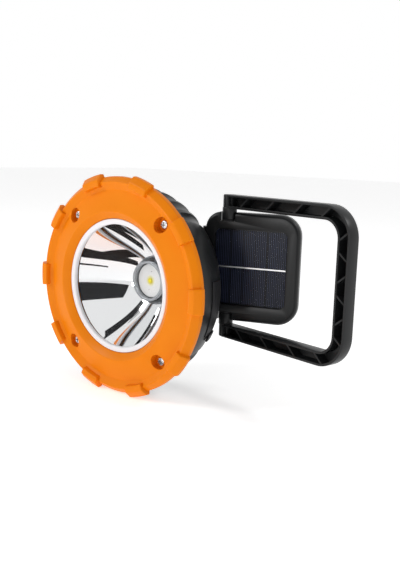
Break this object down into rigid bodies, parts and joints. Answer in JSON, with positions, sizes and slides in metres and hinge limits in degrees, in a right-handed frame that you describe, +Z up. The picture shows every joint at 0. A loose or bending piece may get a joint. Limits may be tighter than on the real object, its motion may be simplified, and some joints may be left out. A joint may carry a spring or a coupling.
{
  "type": "solar work light",
  "caption": "Round rechargeable solar work and garden light with a finned head, a hinged solar panel behind it and a folding ribbed U-shaped handle.",
  "frame": {"origin": "under the middle of the whole lamp, on the surface its rim stands on", "axes": "the beam points along -Y, the panel and the handle open towards +X, +Z is up"},
  "size_m": [0.2266, 0.0804, 0.1445],
  "materials": {
    "orange_plastic": "satin moulded ABS, orange",
    "black_plastic": "fine moulded ABS, black",
    "black_rubber": "matt moulded rubber",
    "white_silicone": "smooth silicone",
    "clear_plastic": "clear polycarbonate",
    "bright_reflector": "vacuum-metallised ABS",
    "aluminium": "turned aluminium",
    "steel": "zinc-plated steel",
    "white_board": "white solder mask",
    "phosphor": "yellow LED phosphor",
    "green_board": "green circuit board",
    "black_board": "black solder mask",
    "cell_wrap": "blue shrink sleeve",
    "silicon": "dark blue solar cell",
    "ribbon": "tinned copper ribbon"
  },
  "bodies": {
    "head": {"bezel": "orange_plastic", "bezel_screw_1": "steel", "bezel_screw_2": "steel", "bezel_screw_3": "steel", "bezel_screw_4": "steel", "lens_seal": "white_silicone", "lens": "clear_plastic", "reflector": "bright_reflector", "led_collar": "aluminium", "led_board": "white_board", "led_emitter": "phosphor", "heat_sink": "aluminium", "housing": "black_plastic", "bezel_seal": "black_rubber", "charge_socket": "steel", "switch_body": "black_plastic", "rear_cover": "black_plastic", "rear_screw_1": "steel", "rear_screw_2": "steel", "rear_screw_3": "steel", "rear_screw_4": "steel", "hinge_pin": "steel", "main_board": "green_board", "battery_cell_upper": "cell_wrap", "battery_cell_lower": "cell_wrap", "battery_cradle_upper": "black_plastic", "battery_cradle_lower": "black_plastic"},
    "port_cover": {"port_cover": "black_rubber"},
    "power_button": {"power_button": "black_rubber"},
    "panel": {"panel_frame": "black_plastic", "panel_back": "black_plastic", "panel_screw_1": "steel", "panel_screw_2": "steel", "panel_screw_3": "steel", "panel_screw_4": "steel", "panel_cover_sheet": "clear_plastic", "solar_cell_upper": "silicon", "solar_cell_lower": "silicon", "bus_ribbon": "ribbon", "solar_board": "black_board"},
    "handle": {"handle": "black_plastic", "pivot_pin_upper": "steel", "pivot_pin_lower": "steel", "pivot_washer_upper": "black_rubber", "pivot_washer_lower": "black_rubber"}
  },
  "joints": [
    {"name": "panel_hinge", "type": "hinge", "parent": "head", "child": "panel", "pos_m": [-0.00433, 0.01584, 0.08605], "axis": [0, 0, 1], "range_deg": [0, 160.6]},
    {"name": "handle_pivot", "type": "hinge", "parent": "panel", "child": "handle", "pos_m": [0.00887, 0.02049, 0.08605], "axis": [0, 0, 1], "range_deg": [-40, 29.9]},
    {"name": "port_cover_hinge", "type": "hinge", "parent": "head", "child": "port_cover", "pos_m": [0.02593, -0.00956, 0.08145], "axis": [0, -1, 0], "range_deg": [0, 100]},
    {"name": "power_button_press", "type": "slide", "parent": "head", "child": "power_button", "axis": [1, 0, 0], "range_m": [0, 0.0012], "stiffness_N_per_m": 900}
  ]
}
